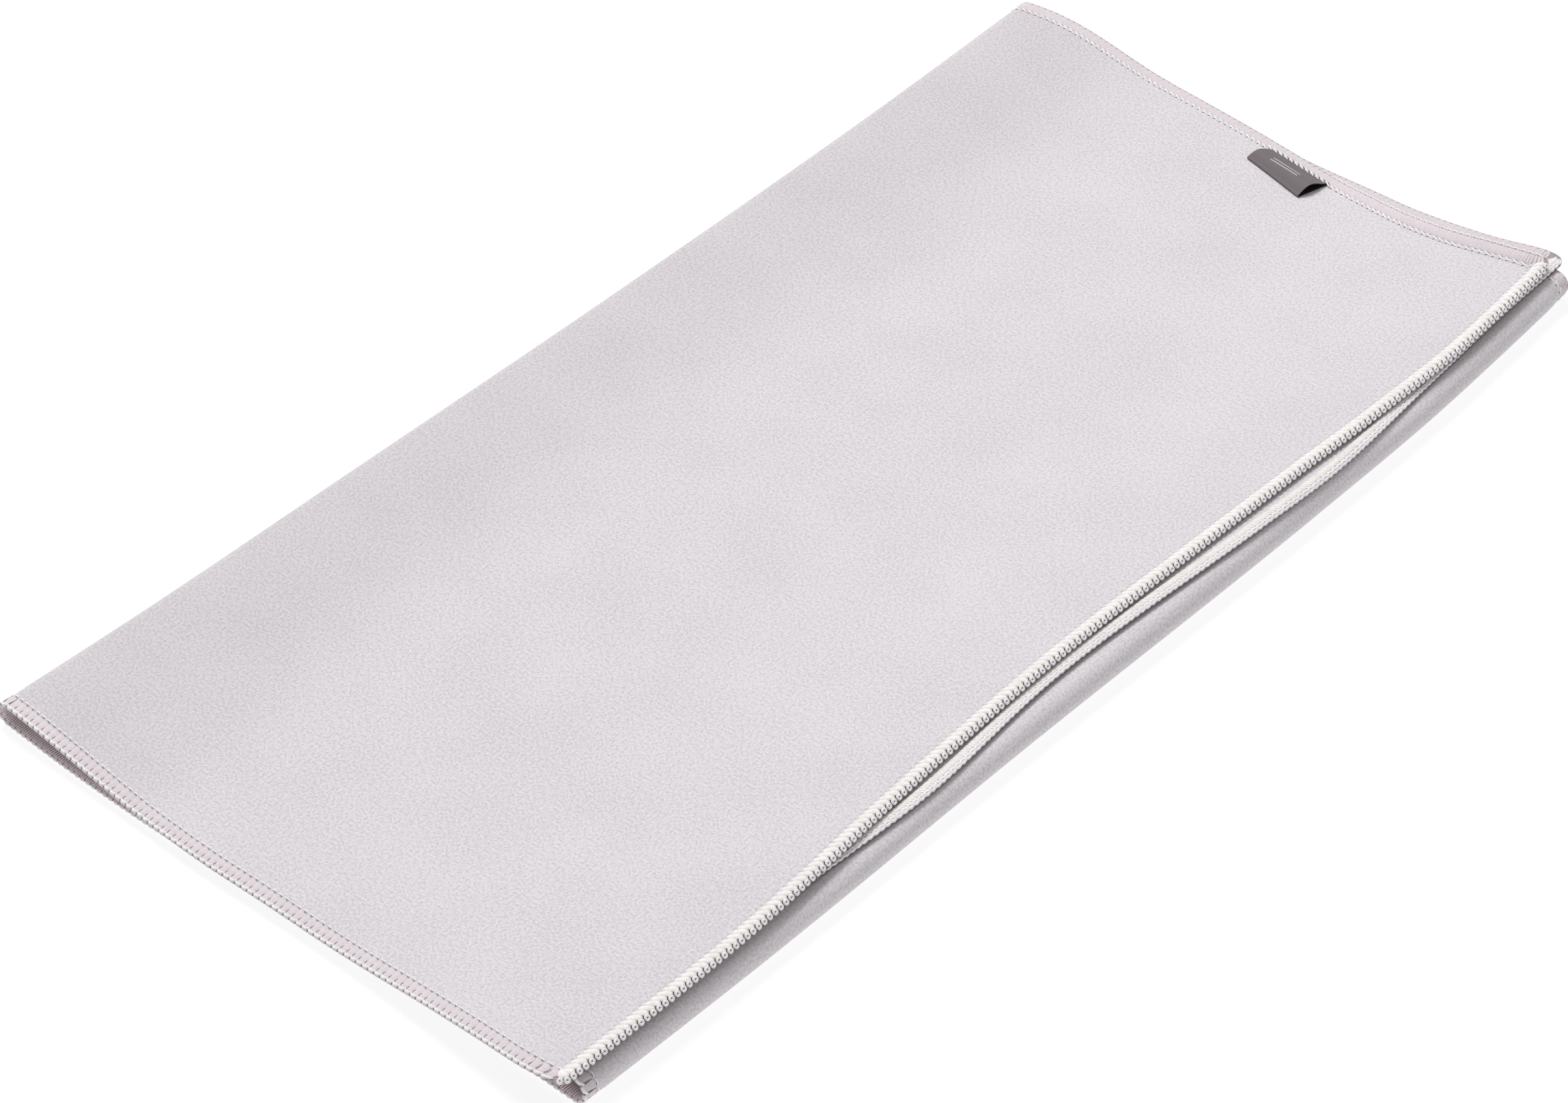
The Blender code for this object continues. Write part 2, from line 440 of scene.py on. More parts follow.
CLOTH_LIGHT = (0.765, 0.728, 0.754)
CLOTH_DARK = (0.590, 0.552, 0.578)
# Painted shade: how much darker the cloth is made beside the left folds, for the shade on its slope there
PAINTED_FOLD_SHADE = (0.905, 0.90, 0.902)
# Painted shade: the cloth under the side hems' ribs and under the end ropes, dark for the shadow in the slits and
# gaps there
SIDE_HEM_SHADE = (0.40, 0.34, 0.36)
END_HEM_SHADE = (0.13, 0.09, 0.095)
RIB_LIGHT = (0.72, 0.655, 0.685)
RIB_DARK = (0.64, 0.575, 0.605)
THREAD_LIGHT = (0.90, 0.885, 0.90)
THREAD_DARK = (0.79, 0.765, 0.785)
ROPE_LIGHT = (0.91, 0.88, 0.86)
ROPE_DARK = (0.79, 0.75, 0.73)
# Painted light: the thread on side B and under the end ropes, a lighter copy of the hem's thread to make up for the
# shade it lies in
UNDER_LIGHT = (0.90, 0.81, 0.82)
UNDER_DARK = (0.74, 0.64, 0.65)
# Painted shade in the needle holes and in the dashes of the ends' needle lines
NEEDLE_HOLE_SHADE = (0.30, 0.24, 0.27)
LABEL_LIGHT = (0.190, 0.160, 0.167)
LABEL_DARK = (0.130, 0.108, 0.113)
# Painted shade: the inside of the label's loop, near black for the shadow in it
LABEL_INSIDE_SHADE = (0.02, 0.018, 0.018)
LABEL_MARK = (0.50, 0.51, 0.50)


def dots(shade, along, inward, line, size, stretch=1.0):
    """1 at a needle hole, where shade is painted, once every pitch, and 0 elsewhere."""
    turns = shade.math("ADD", shade.math("DIVIDE", along, PITCH), 0.5)
    offset = shade.math("SUBTRACT", shade.math("FRACT", turns), 0.5)
    offset = shade.math("MULTIPLY", offset, PITCH / stretch)
    off_line = shade.math("SUBTRACT", inward, line)
    squared = shade.math("ADD", shade.math("POWER", offset, 2.0), shade.math("POWER", off_line, 2.0))
    return shade.span(squared, (0.5 * size) ** 2, size**2, 1.0, 0.0)


def make_cloth():
    """Brushed suede microfibre: short matt nap in small clumps. Painted shade darkens it beside the left folds, in
    the needle holes and under the hems' stitches.
    """
    shade = Shader("suede_microfibre", 0.95, sheen=0.12, specular=0.15)
    flat = shade.attribute("flat", "Vector")
    side_in, side_along = shade.attribute("side_in"), shade.attribute("side_along")
    end_in, end_along = shade.attribute("end_in"), shade.attribute("end_along")
    grain = shade.noise(flat, 0.9, 3.0, 0.7)
    nap = shade.noise(flat, 2.6, 2.0, 0.6)
    mottle = shade.noise(flat, 0.025, 2.0, 0.5)
    flecks = shade.span(shade.noise(flat, 1.0, 4.0, 0.75), 0.31, 0.38, 1.0, 0.0)
    tone = shade.math("ADD", shade.math("MULTIPLY", grain, 0.9), shade.math("MULTIPLY", mottle, 0.1))
    colour = shade.mix(shade.span(tone, 0.345, 0.615), CLOTH_DARK, CLOTH_LIGHT)
    # Painted shade beside the left folds: darker, with more dark flecks, for the shade on the cloth's slope down to
    # the folds
    folded = shade.math("MULTIPLY", shade.span(end_in, 190, 275), shade.span(end_in, 320, 390, 1.0, 0.0))
    flecked = shade.math("MULTIPLY", flecks, shade.math("ADD", 0.6, shade.math("MULTIPLY", folded, 0.4)))
    colour = shade.mix(flecked, colour, CLOTH_DARK)
    colour = shade.mix(folded, colour, PAINTED_FOLD_SHADE, "MULTIPLY")
    # Painted shade: the cloth under the end ropes and under the side hems' ribs is painted dark, for the shadow in
    # the gaps under and between the stitches
    colour = shade.mix(shade.span(end_in, 3.8, 5.4, 0.95, 0.0), colour, END_HEM_SHADE)
    colour = shade.mix(shade.span(side_in, 3.8, 5.4, 0.95, 0.0), colour, SIDE_HEM_SHADE)
    # Needle holes, and dashes on the ends' needle lines: painted shade in the pits where thread goes through; the
    # holes are also pressed into the bump
    holes = dots(shade, side_along, side_in, NEEDLE_LINE - 0.35, 0.62)
    beyond = dots(shade, side_along, side_in, NEEDLE_LINE + 1.0, 0.45)
    far = shade.span(shade.node("ShaderNodeSeparateXYZ", {}, flat).outputs[1], -1, 1)
    holes = shade.math("MAXIMUM", holes, shade.math("MULTIPLY", beyond, far))
    dashes = dots(shade, end_along, end_in, NEEDLE_LINE + 0.6, 0.27, 3.0)
    painted_hole_shade = shade.math("MAXIMUM", shade.math("MULTIPLY", holes, 0.85), shade.math("MULTIPLY", dashes, 0.45))
    colour = shade.mix(painted_hole_shade, colour, NEEDLE_HOLE_SHADE)
    height = shade.math("ADD", shade.math("MULTIPLY", grain, 1.0), shade.math("MULTIPLY", nap, 0.35))
    height = shade.math("SUBTRACT", height, shade.math("MULTIPLY", holes, 1.2))
    return shade.finish(colour, height, 0.00034)


def make_thread(name, light, dark, scale=1.4):
    """Textured polyester thread, a little fuzzy."""
    shade = Shader(name, 0.8, sheen=0.1, specular=0.25)
    where = shade.node("ShaderNodeTexCoord", {}).outputs["Object"]
    fuzz = shade.noise(where, scale * 900, 2.0, 0.6)
    patch = shade.noise(where, scale * 160, 2.0, 0.5)
    tone = shade.math("ADD", shade.math("MULTIPLY", fuzz, 0.75), shade.math("MULTIPLY", patch, 0.25))
    return shade.finish(shade.mix(shade.span(tone, 0.30, 0.66), dark, light), fuzz, 0.00012)


def make_ribbon():
    """Dark woven ribbon with a fine rib, and two plain light woven lines in place of any mark."""
    shade = Shader("woven_ribbon", 0.6, sheen=0.05, specular=0.35)
    along, width = shade.attribute("ribbon_along"), shade.attribute("ribbon_across")
    ribs = shade.math("SINE", shade.math("MULTIPLY", width, 2 * math.pi / 0.42))
    picks = shade.math("SINE", shade.math("MULTIPLY", along, 2 * math.pi / 0.5))
    weave = shade.math("MULTIPLY", shade.math("ADD", ribs, picks), 0.25)
    weave = shade.math("ADD", weave, 0.5)
    colour = shade.mix(shade.span(weave, 0.15, 0.9), LABEL_DARK, LABEL_LIGHT)
    for middle in MARK_LINES:
        off = shade.math("ABSOLUTE", shade.math("SUBTRACT", along, middle))
        on_line = shade.span(off, 0.18, 0.32, 1.0, 0.0)
        centred = shade.math("ABSOLUTE", shade.math("SUBTRACT", width, LABEL_WIDTH / 2))
        within = shade.span(centred, MARK_HALF_LENGTH, MARK_HALF_LENGTH + 0.4, 1.0, 0.0)
        on_line = shade.math("MULTIPLY", on_line, within)
        colour = shade.mix(on_line, colour, LABEL_MARK)
    return shade.finish(colour, weave, 0.00008)


# ---------------------------------------------------------------- meshes


def new_object(name, points, faces, materials, slots=None, crease=50):
    """A smooth mesh object from points in millimetres."""
    mesh = bpy.data.meshes.new(name)
    mesh.from_pydata((np.asarray(points).reshape(-1, 3) * MM).tolist(), [], faces)
    for material in materials:
        mesh.materials.append(material)
    if slots is not None:
        mesh.polygons.foreach_set("material_index", slots)
    mesh.shade_smooth()
    mesh.set_sharp_from_angle(angle=math.radians(crease))
    piece = bpy.data.objects.new(name, mesh)
    bpy.context.scene.collection.objects.link(piece)
    return piece


def give(piece, name, values, kind="FLOAT"):
    """A named value on each point of a mesh."""
    attribute = piece.data.attributes.new(name, kind, "POINT")
    key = "vector" if kind == "FLOAT_VECTOR" else "value"
    attribute.data.foreach_set(key, np.ascontiguousarray(values, np.float32).ravel())


def grid_faces(high, wide):
    """Quads of a grid, wound so that they face side A."""
    index = np.arange(high * wide).reshape(high, wide)
    quads = [index[:-1, :-1], index[1:, :-1], index[1:, 1:], index[:-1, 1:]]
    return np.stack([q.ravel() for q in quads], axis=1).tolist()


def thicken(piece, thickness):
    """Gives a surface its thickness, with crisp rims. A second material goes on its far side."""
    solid = piece.modifiers.new("thickness", "SOLIDIFY")
    solid.material_offset = len(piece.data.materials) - 1
    solid.thickness = thickness * MM
    solid.offset = 0
    rims = piece.modifiers.new("rims", "EDGE_SPLIT")
    rims.split_angle = math.radians(50)


def edge_distances():
    """For each grid point, how far it is from the long side and from the short end, and along them."""
    high, wide = run.shape
    near_half = np.arange(high)[:, None] < high // 2
    side_in = np.where(near_half, grid[..., 1] - grid[:1, :, 1], grid[-1:, :, 1] - grid[..., 1])
    side_along = np.where(near_half, run[:1], run[-1:]) + np.zeros_like(run)
    first_half = np.arange(wide)[None] < wide // 2
    end_in = np.where(first_half, run, run[:, -1:] - run)
    first_y, last_y = edge_run(grid[:, 0]), edge_run(grid[:, -1])
    end_along = np.where(first_half, first_y[:, None], last_y[:, None]) + np.zeros_like(run)
    return side_in, side_along, end_in, end_along


def edge_run(line):
    """Distance along a line of points from its first one."""
    steps = np.linalg.norm(np.diff(line, axis=0), axis=-1)
    return np.concatenate([[0], np.cumsum(steps)])


def make_cloth_piece(name, first, last, material, measures):
    """The sheet between two columns, thickened to the cloth's thickness."""
    part = grid[:, first : last + 1]
    high, wide = part.shape[:2]
    piece = new_object(name, part, grid_faces(high, wide), [material])
    for key, values in zip(("side_in", "side_along", "end_in", "end_along"), measures):
        give(piece, key, values[:, first : last + 1])
    flat = np.stack([run, grid[..., 1], np.zeros_like(run)], axis=-1)[:, first : last + 1]
    give(piece, "flat", flat, "FLOAT_VECTOR")
    thicken(piece, CLOTH)
    return piece


# ---------------------------------------------------------------- stitches


class Strip:
    """The cloth along one edge, from which thread is placed: along the edge, in from it, and off its middle."""

    def __init__(self, points, normals, inward):
        self.points = points
        self.normals = normals
        self.inward = np.asarray(inward, float)
        self.along = edge_run(points[:, 0])

    def place(self, along, inward, lift):
        """Points on the strip and the cloth's normals there. Inward may be below 0, just outside the edge."""
        i = np.clip(np.searchsorted(self.along, along, side="right") - 1, 0, len(self.along) - 2)
        s = np.clip((along - self.along[i]) / (self.along[i + 1] - self.along[i]), 0, 1)[..., None]
        k = np.clip(np.searchsorted(self.inward, inward, side="right") - 1, 0, len(self.inward) - 2)
        d = ((inward - self.inward[k]) / (self.inward[k + 1] - self.inward[k]))[..., None]

        def read(table):
            near = table[i, k] * (1 - d) + table[i, k + 1] * d
            far = table[i + 1, k] * (1 - d) + table[i + 1, k + 1] * d
            return near * (1 - s) + far * s

        innermost = self.points[i, -1] * (1 - s) + self.points[i + 1, -1] * s
        out = unit(read(self.points) - innermost)
        normals = unit(read(self.normals))
        return read(self.points) + normals * lift[..., None], normals, out


class Strand:
    """One thread of a stitch: its route as rows of (pitches along, inward, off the cloth's middle), and its size."""

    def __init__(self, route, wide, thick, slot=0, sides=6, over_label=False, past_label=False):
        self.route = np.array(route, float)
        self.wide = np.broadcast_to(np.array(wide, float), len(route))
        self.thick = np.broadcast_to(np.array(thick, float), len(route))
        self.slot = slot
        self.sides = sides
        self.over_label = over_label
        self.past_label = past_label

    def moved(self, shift, side_b=False):
        """The same thread some pitches further along, on either side of the cloth."""
        route = self.route * (1, 1, -1 if side_b else 1) + (shift, 0, 0)
        return Strand(route, self.wide, self.thick, self.slot, self.sides)

    def tubes(self, strip, origins, raised):
        """A tube for every stitch that starts at one of the origins."""
        along = origins[:, None] + self.route[:, 0] * PITCH
        inward = np.broadcast_to(self.route[:, 1], along.shape)
        lift = self.route[:, 2] + (raised[:, None] if self.over_label else np.zeros_like(along))
        centres, normals, out = strip.place(along, inward, lift)
        beyond = np.clip(0.6 - inward, 0, None)[..., None]
        up = unit(normals * lift[..., None] + out * beyond)
        forward = unit(np.gradient(centres, axis=1))
        side = unit(np.cross(forward, up))
        over = np.cross(side, forward)
        angle = 2 * math.pi * np.arange(self.sides) / self.sides
        spread = self.wide[:, None, None] * np.cos(angle)[:, None]
        swell = self.thick[:, None, None] * np.sin(angle)[:, None]
        points = centres[:, :, None] + side[:, :, None] * spread + over[:, :, None] * swell
        return points, self.faces(*along.shape)

    def faces(self, count, stations):
        """Faces of that many tubes, closed at both ends."""
        index = np.arange(count * stations * self.sides).reshape(count, stations, self.sides)
        turned = np.roll(index, -1, axis=2)
        quads = [index[:, :-1], index[:, 1:], turned[:, 1:], turned[:, :-1]]
        walls = np.stack([q.ravel() for q in quads], axis=1)
        caps = np.concatenate([index[:, 0], index[:, -1, ::-1]])
        return walls.tolist() + caps.tolist()


def lay_stitches(name, strip, strands, origins, materials, raised=None, past=None):
    """All strands of the stitches at these origins as one piece. Past says which ones lie beyond the label."""
    raised = np.zeros_like(origins) if raised is None else raised
    past = np.zeros_like(origins, bool) if past is None else past
    points, faces, slots = [], [], []
    first = 0
    for strand in strands:
        chosen = past if strand.past_label else slice(None)
        if not len(origins[chosen]):
            continue
        tube_points, tube_faces = strand.tubes(strip, origins[chosen], raised[chosen])
        points.append(tube_points.reshape(-1, 3))
        faces += [[first + corner for corner in face] for face in tube_faces]
        slots += [strand.slot] * len(tube_faces)
        first += points[-1].shape[0]
    return new_object(name, np.concatenate(points), faces, materials, slots, crease=100)


# The side hems. Slot 0 is the hem's own pinkish thread, 1 the white thread, 2 the browner one on side B, painted
# light: lighter than the hem's own thread, for the shade it lies in inside the folds.
WRAP_ROUTE = [
    (0.50, 5.65, 0.42), (0.50, 5.0, 0.62), (0.50, 3.6, 0.70), (0.52, 2.3, 0.72), (0.54, 0.8, 0.68),
    (0.55, -0.15, 0.42), (0.55, -0.35, 0.0), (0.55, -0.15, -0.42), (0.54, 1.0, -0.60),
]
NEAR_WRAP = Strand(
    WRAP_ROUTE,
    [1.15, 1.60, 1.62, 1.36, 1.28, 1.32, 1.34, 1.34, 1.2],
    [0.12, 0.22, 0.26, 0.26, 0.22, 0.20, 0.20, 0.20, 0.14],
)
FAR_RIB = Strand(
    [(0.17, 5.7, 0.42), (0.17, 5.1, 0.62), (0.17, 3.2, 0.70), (0.17, 0.9, 0.66), (0.17, -0.1, 0.42),
     (0.17, -0.3, 0), (0.17, -0.1, -0.42), (0.17, 0.9, -0.66), (0.17, 3.2, -0.70), (0.17, 5.1, -0.62),
     (0.17, 5.7, -0.42)],
    [0.42, 0.60, 0.62, 0.62, 0.58, 0.56, 0.58, 0.62, 0.62, 0.60, 0.42],
    [0.12, 0.24, 0.26, 0.26, 0.24, 0.22, 0.24, 0.26, 0.26, 0.24, 0.12],
    sides=4,
)
NOTCHED_RIB = Strand(
    [(0.50, 5.7, 0.42), (0.50, 5.1, 0.60), (0.50, 2.4, 0.66), (0.50, 0.75, 0.54), (0.50, 0.22, 0.0),
     (0.50, 0.75, -0.54), (0.50, 2.4, -0.66), (0.50, 5.1, -0.60), (0.50, 5.7, -0.42)],
    [0.42, 0.60, 0.60, 0.50, 0.44, 0.50, 0.60, 0.60, 0.42],
    [0.12, 0.24, 0.24, 0.18, 0.14, 0.18, 0.24, 0.24, 0.12],
    sides=4,
)
SCALLOP = Strand(
    [(-0.06, 1.10, 0.92), (0.10, 0.66, 0.96), (0.28, 0.28, 0.94), (0.50, 0.10, 0.86), (0.76, 0.18, 0.82),
     (0.98, 0.55, 0.80)],
    [0.36, 0.52, 0.60, 0.60, 0.56, 0.40],
    [0.20, 0.42, 0.50, 0.52, 0.46, 0.28],
    slot=1,
)
BOWED_NEEDLE = Strand(
    [(0.02, 6.15, 0.48), (0.22, 6.42, 0.68), (0.50, 6.54, 0.74), (0.78, 6.42, 0.68), (0.98, 6.15, 0.48)],
    [0.24, 0.38, 0.42, 0.38, 0.24],
    [0.14, 0.24, 0.26, 0.24, 0.14],
    slot=1, sides=5, over_label=True,
)
SLANTED_NEEDLE = Strand(
    [(-0.06, 7.25, 0.46), (0.16, 7.0, 0.70), (0.46, 6.5, 0.82), (0.80, 5.95, 0.84), (1.06, 5.6, 0.76)],
    [0.22, 0.42, 0.50, 0.48, 0.32],
    [0.14, 0.26, 0.30, 0.30, 0.20],
    slot=1, sides=5, over_label=True,
)
RETURN_NEEDLE = Strand(
    [(0.52, 6.15, 0.70), (0.74, 6.7, 0.74), (0.94, 7.2, 0.50)],
    [0.28, 0.34, 0.22],
    [0.18, 0.24, 0.14],
    slot=1, sides=5, over_label=True,
)
EDGE_CHAIN = Strand(
    [(-0.05, 0.75, 0.88), (0.30, 0.45, 0.90), (0.55, 0.15, 0.78), (0.80, 0.40, 0.88), (1.05, 0.75, 0.88)],
    [0.36, 0.46, 0.50, 0.46, 0.36],
    [0.26, 0.36, 0.40, 0.36, 0.26],
    slot=1, sides=5, past_label=True,
)
SIDE_B_BAR = Strand(
    [(0.17, 5.5, -0.5), (0.17, 4.2, -0.72), (0.17, 1.4, -0.74), (0.17, 0.3, -0.62)],
    [0.25, 0.42, 0.42, 0.35],
    [0.12, 0.26, 0.26, 0.2],
    slot=2, sides=5,
)
# The sheet's short ends. Slot 0 is the cream thread, 1 the white thread, 2 the browner one underneath, painted
# lighter for the shade there.
LEAF = Strand(
    [(-0.32, 5.9, 0.52), (-0.12, 5.2, 0.86), (0.18, 4.2, 1.10), (0.50, 3.2, 1.20), (0.80, 2.2, 1.16),
     (1.0, 1.45, 0.95)],
    [0.64, 1.16, 1.38, 1.42, 1.30, 0.85],
    [0.24, 0.46, 0.60, 0.64, 0.56, 0.36],
    sides=8,
)
RING_STEPS = 13
RING = Strand(
    [
        (0.5 + 0.28 * math.cos(a), 0.62 + 0.56 * math.sin(a), 0.78 + 0.52 * math.sin(a))
        for a in np.linspace(0, 2 * math.pi + 0.3, RING_STEPS)
    ],
    0.56,
    0.52,
    slot=1,
)
TWIST = Strand(
    [(0.0, 5.4, 0.50), (0.35, 4.5, 0.84), (0.80, 3.4, 1.0), (1.25, 2.4, 1.0), (1.60, 1.6, 0.76)],
    [0.25, 0.54, 0.64, 0.60, 0.38],
    [0.20, 0.40, 0.46, 0.44, 0.25],
)
EYE_OUTER = Strand(
    [(-0.1, 0.86, 0.62), (0.2, 0.64, 0.52), (0.5, 0.46, 0.44), (0.8, 0.64, 0.52), (1.1, 0.86, 0.62)],
    0.66,
    0.60,
    slot=1, sides=8,
)
EYE_INNER = Strand(
    [(-0.1, 0.98, 0.70), (0.2, 1.30, 0.84), (0.5, 1.62, 0.92), (0.8, 1.30, 0.84), (1.1, 0.98, 0.70)],
    0.60,
    0.55,
    slot=1, sides=8,
)
UNDER_LEAF = Strand(
    [(0.0, 5.4, -0.50), (0.30, 4.2, -0.64), (0.65, 2.8, -0.64), (0.85, 1.9, -0.50)],
    [0.5, 1.2, 1.2, 0.8],
    [0.10, 0.16, 0.16, 0.12],
    slot=2,
)
NEAR_STRANDS = (
    NEAR_WRAP, SIDE_B_BAR, SIDE_B_BAR.moved(0.33), SIDE_B_BAR.moved(0.67), SCALLOP, BOWED_NEEDLE
)
FAR_STRANDS = (
    FAR_RIB, NOTCHED_RIB, FAR_RIB.moved(0.66), SLANTED_NEEDLE, RETURN_NEEDLE,
    SLANTED_NEEDLE.moved(0, side_b=True), EDGE_CHAIN,
)
TOP_EDGE_STRANDS = (UNDER_LEAF, LEAF, RING)
SECOND_EDGE_STRANDS = tuple(
    strand.moved(shift, side_b=True)
    for strand, shift in ((UNDER_LEAF, 0), (TWIST, 0), (TWIST, 0.5), (EYE_OUTER, 0), (EYE_INNER, 0))
)


def side_strip(far):
    """The strip along a whole long side, in the order of the sheet's columns."""
    count = len(EDGE_STEPS)
    band = slice(None, -count - 1, -1) if far else slice(count)
    return Strip(grid[band].transpose(1, 0, 2), normal[band].transpose(1, 0, 2), EDGE_STEPS)


def end_strip(first, height, facing):
    """The strip along a short end, round both of its corners, with inward square to the edge."""
    column, last_rows = (0, -1) if first else (-1, 0)
    counts = (NEAR_CORNER_COLUMNS, FAR_CORNER_COLUMNS)
    near, far = (slice(count, 0, -1) if first else slice(-count - 1, -1) for count in counts)
    line = np.concatenate([grid[0, near], grid[:, column], grid[-1, far][::-1]])
    along = edge_run(line)
    fine = np.linspace(0, along[-1], int(along[-1] / 1.0))
    line = np.stack([np.interp(fine, along, line[:, axis]) for axis in (0, 1)], axis=-1)
    ahead_2d = unit(np.gradient(line, axis=0))
    inward_2d = np.stack([-ahead_2d[:, 1], ahead_2d[:, 0]], axis=-1)
    steps = np.array(EDGE_STEPS)
    flat = line[:, None] + inward_2d[:, None] * steps[:, None]
    x, y = flat[..., 0], flat[..., 1]
    points = np.stack([x, y, height(x, y)], axis=-1)
    tiny = 0.5
    rise_x = (height(x + tiny, y) - height(x - tiny, y)) / (2 * tiny)
    rise_y = (height(x, y + tiny) - height(x, y - tiny)) / (2 * tiny)
    normals = facing * unit(np.stack([-rise_x, -rise_y, np.ones_like(x)], axis=-1))
    return Strip(points, normals, EDGE_STEPS)


def build_side_stitches(side, strip, strands, materials):
    """Overlock along a long side, as one piece for each stretch of the sheet."""
    made = {}
    row = grid[-1] if side == "far" else grid[0]
    cut_at = edge_run(row)[list(CUTS)]
    count = int((cut_at[-1] - cut_at[0] - 2 * CORNER_GAP[side]) / PITCH)
    origins = cut_at[0] + CORNER_GAP[side] + PITCH * np.arange(count)
    for stretch, first, last in zip(STRETCHES, cut_at, cut_at[1:]):
        here = origins[(origins >= first) & (origins < last)]
        raised = past = None
        if side == "far" and stretch == "top":
            x = np.interp(here, edge_run(row), row[:, 0])
            raised = LABEL_THICKNESS * smooth(1 + (LABEL_WIDTH / 2 - np.abs(x - LABEL_MIDDLE)) / PITCH)
            past = x > LABEL_MIDDLE + LABEL_WIDTH / 2
        name = f"{side}_hem_thread_{stretch}"
        made[stretch] = lay_stitches(name, strip, strands, here, materials, raised, past)
    return made


# ---------------------------------------------------------------- label

def label_surface():
    """The ribbon's middle as a grid: rows along the loop from root to root, columns across its width."""
    share = np.linspace(0, 1, LABEL_COLUMNS)
    root_x = LABEL_MIDDLE + LABEL_WIDTH * (share - 0.5)
    far_row = grid[-1, : starts[1]][::-1]
    root_y = np.interp(root_x, far_row[:, 0], far_row[:, 1]) - LABEL_ROOT
    reach = np.interp(share, (0, 1), LABEL_REACH)
    skew = np.interp(share, (0, 1), LABEL_SKEW)
    arch = np.interp(share, (0, 1), LABEL_ARCH)
    lower = [(s, 0.0) for s in np.linspace(0, 1, LABEL_PLY_STEPS)]
    angles = np.linspace(0, math.pi, LABEL_TURN_STEPS + 2)[1:-1]
    upper = []
    for s in np.linspace(1, 0, LABEL_PLY_STEPS):
        back = 1 - s
        rise = math.sin(math.pi / 2 * min(1, back / 0.38)) * (1 - float(smooth((back - 0.38) / 0.62)))
        pressed = RIBBON + 0.05
        upper.append((s, pressed + (2 * LABEL_TURN - pressed) * s + arch * rise))
    loop = [(s, z, 0.0) for s, z in lower]
    loop += [(1.0, LABEL_TURN * (1 - math.cos(a)), LABEL_TURN * math.sin(a)) for a in angles]
    loop += [(s, z, 0.0) for s, z in upper]
    points = []
    for s, z, extra in loop:
        x = root_x + skew * s
        y = root_y - (reach * s + extra)
        points.append(np.stack([x, y, top_height(x, y) + HALF + RIBBON / 2 + 0.12 + z], axis=-1))
    return np.array(points)


def build_label(materials):
    """The woven label, a ribbon folded back on itself and sewn under the far hem's needle line."""
    surface = label_surface()
    high, wide = surface.shape[:2]
    piece = new_object("woven_label", surface, grid_faces(high, wide), materials)
    along = np.stack([edge_run(surface[::-1, column])[::-1] for column in range(wide)], axis=1)
    give(piece, "ribbon_along", along)
    give(piece, "ribbon_across", np.broadcast_to(np.linspace(0, LABEL_WIDTH, wide), (high, wide)))
    thicken(piece, RIBBON)
    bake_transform(piece)
    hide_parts("side_label")
    return piece


# ---------------------------------------------------------------- putting it together

CLOTH_NODES = {
    "top": ("top_layer",),
    "outer_turn": ("outer_fold",),
    "lower": ("bottom_layer", "front_fold", "third_layer"),
    "inner_turn": ("inner_fold",),
    "second": ("second_layer",),
}
BLEND_HEIGHTS = {
    "outer_turn": (BOTTOM_Z + 1.2, BOTTOM_Z + 2 * OUTER_TURN - 2.4),
    "inner_turn": (THIRD_Z + 1.0, SECOND_Z + 2.4),
}


def follow(piece, stretch):
    """Puts a piece on the body of its stretch of the sheet. The two turns are put on no body; their transforms are
    baked in.
    """
    if stretch in BLEND_HEIGHTS:
        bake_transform(piece)
    else:
        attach(piece, "lower_half" if stretch == "lower" else "upper_half")


def build_towel():
    """All pieces of the towel; those of the top, lower and second stretches each on its body."""
    cloth = make_cloth()
    thread = make_thread("overlock_thread", THREAD_LIGHT, THREAD_DARK)
    ribs = make_thread("hem_thread", RIB_LIGHT, RIB_DARK)
    under = make_thread("under_thread_lightened", UNDER_LIGHT, UNDER_DARK)
    rope = make_thread("end_thread", ROPE_LIGHT, ROPE_DARK, 0.9)
    measures = edge_distances()
    threads = {}
    for side, strands in (("near", NEAR_STRANDS), ("far", FAR_STRANDS)):
        pieces = build_side_stitches(side, side_strip(side == "far"), strands, [ribs, thread, under])
        for stretch, piece in pieces.items():
            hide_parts(*(f"{side}_hem_{node}" for node in CLOTH_NODES[stretch]))
            threads.setdefault(stretch, []).append(piece)
    for name, first, height, facing, strands in (
        ("top", True, top_height, 1, TOP_EDGE_STRANDS),
        ("second", False, second_height, -1, SECOND_EDGE_STRANDS),
    ):
        strip = end_strip(first, height, facing)
        origins = PITCH * np.arange(1, int(strip.along[-1] / PITCH) - 1)
        piece = lay_stitches(f"{name}_edge_thread", strip, strands, origins, [rope, thread, under])
        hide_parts(f"{name}_edge_stitch")
        threads[name].append(piece)
    for stretch, first, last in zip(STRETCHES, CUTS, CUTS[1:]):
        piece = make_cloth_piece(f"cloth_{stretch}", first, last, cloth, measures)
        follow(piece, stretch)
        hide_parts(*CLOTH_NODES[stretch])
        for each in threads[stretch]:
            follow(each, stretch)
    # The inside of the label's loop is painted near black, as painted shade
    inside = Shader("ribbon_inside_shade", 0.8).finish(LABEL_INSIDE_SHADE, 0.5, 0.00001)
    build_label([inside, make_ribbon()])


# ---------------------------------------------------------------- stage


FLOOR_COLOUR = (0.20, 0.20, 0.20)
FLOOR_GLOW = 0.84


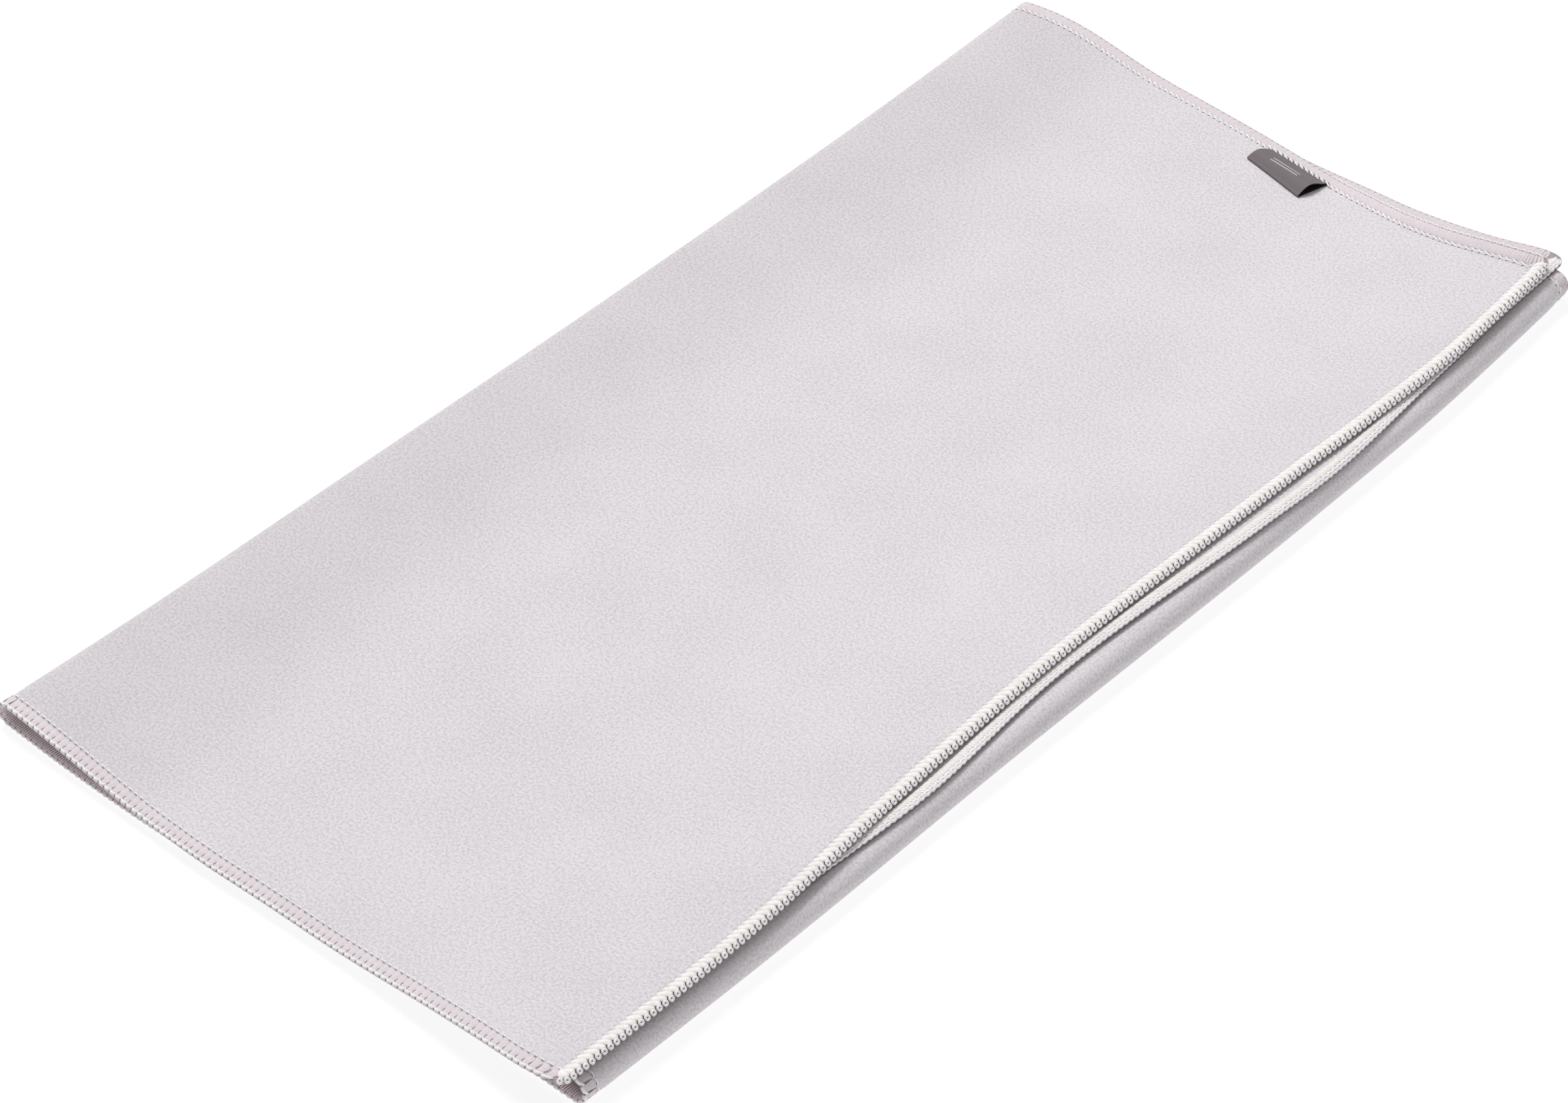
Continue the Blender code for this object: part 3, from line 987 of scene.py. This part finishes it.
def build_floor():
    """A plain white floor, a little lit from below, as a light table is, so that shadows on it stay faint."""
    shade = Shader("floor", 1.0, specular=0.0)
    shade.principled.inputs["Base Color"].default_value = (*FLOOR_COLOUR, 1)
    shade.principled.inputs["Emission Color"].default_value = (1, 1, 1, 1)
    shade.principled.inputs["Emission Strength"].default_value = FLOOR_GLOW
    size = 4000
    points = [(-size, -size, 0), (size, -size, 0), (size, size, 0), (-size, size, 0)]
    floor = new_object("floor", points, [(0, 1, 2, 3)], [shade.material])
    floor.location.z = -0.0004


def add_light(name, place, size, power):
    """A square softbox aimed at the towel."""
    light = bpy.data.lights.new(name, "AREA")
    light.size = size
    light.energy = power
    lamp = bpy.data.objects.new(name, light)
    lamp.location = place
    lamp.rotation_euler = (-Vector(place)).to_track_quat("-Z", "Y").to_euler()
    bpy.context.scene.collection.objects.link(lamp)


def build_light():
    """Plain soft studio light: a white room, a large softbox above, and a weak one low in front."""
    world = bpy.data.worlds.new("studio")
    world.use_nodes = True
    background = world.node_tree.nodes["Background"]
    background.inputs["Color"].default_value = (1, 1, 1, 1)
    background.inputs["Strength"].default_value = 0.42
    bpy.context.scene.world = world
    add_light("softbox", (-1.9, 0.9, 3.6), 1.6, 138)
    add_light("front_fill", (1.7, -2.2, 0.8), 2.0, 11)
    bpy.context.scene.view_settings.view_transform = "Standard"


CAMERA_AZIMUTH = 41.59
CAMERA_ELEVATION = 41.96
CAMERA_DISTANCE = 2.003
CAMERA_AIM = (0.0065, -0.0332, 0)
CAMERA_LENS = 117.1


def build_camera():
    """The camera, at the photograph's viewing angle."""
    azimuth, elevation = math.radians(CAMERA_AZIMUTH), math.radians(CAMERA_ELEVATION)
    flat = math.cos(elevation)
    back = Vector((math.sin(azimuth) * flat, -math.cos(azimuth) * flat, math.sin(elevation)))
    camera = bpy.data.objects.new("camera", bpy.data.cameras.new("camera"))
    camera.data.sensor_width = 36
    camera.data.lens = CAMERA_LENS
    camera.location = Vector(CAMERA_AIM) + back * CAMERA_DISTANCE
    camera.rotation_euler = (-back).to_track_quat("-Z", "Y").to_euler()
    bpy.context.scene.collection.objects.link(camera)
    bpy.context.scene.camera = camera


build_camera()
build_light()
build_floor()
build_towel()
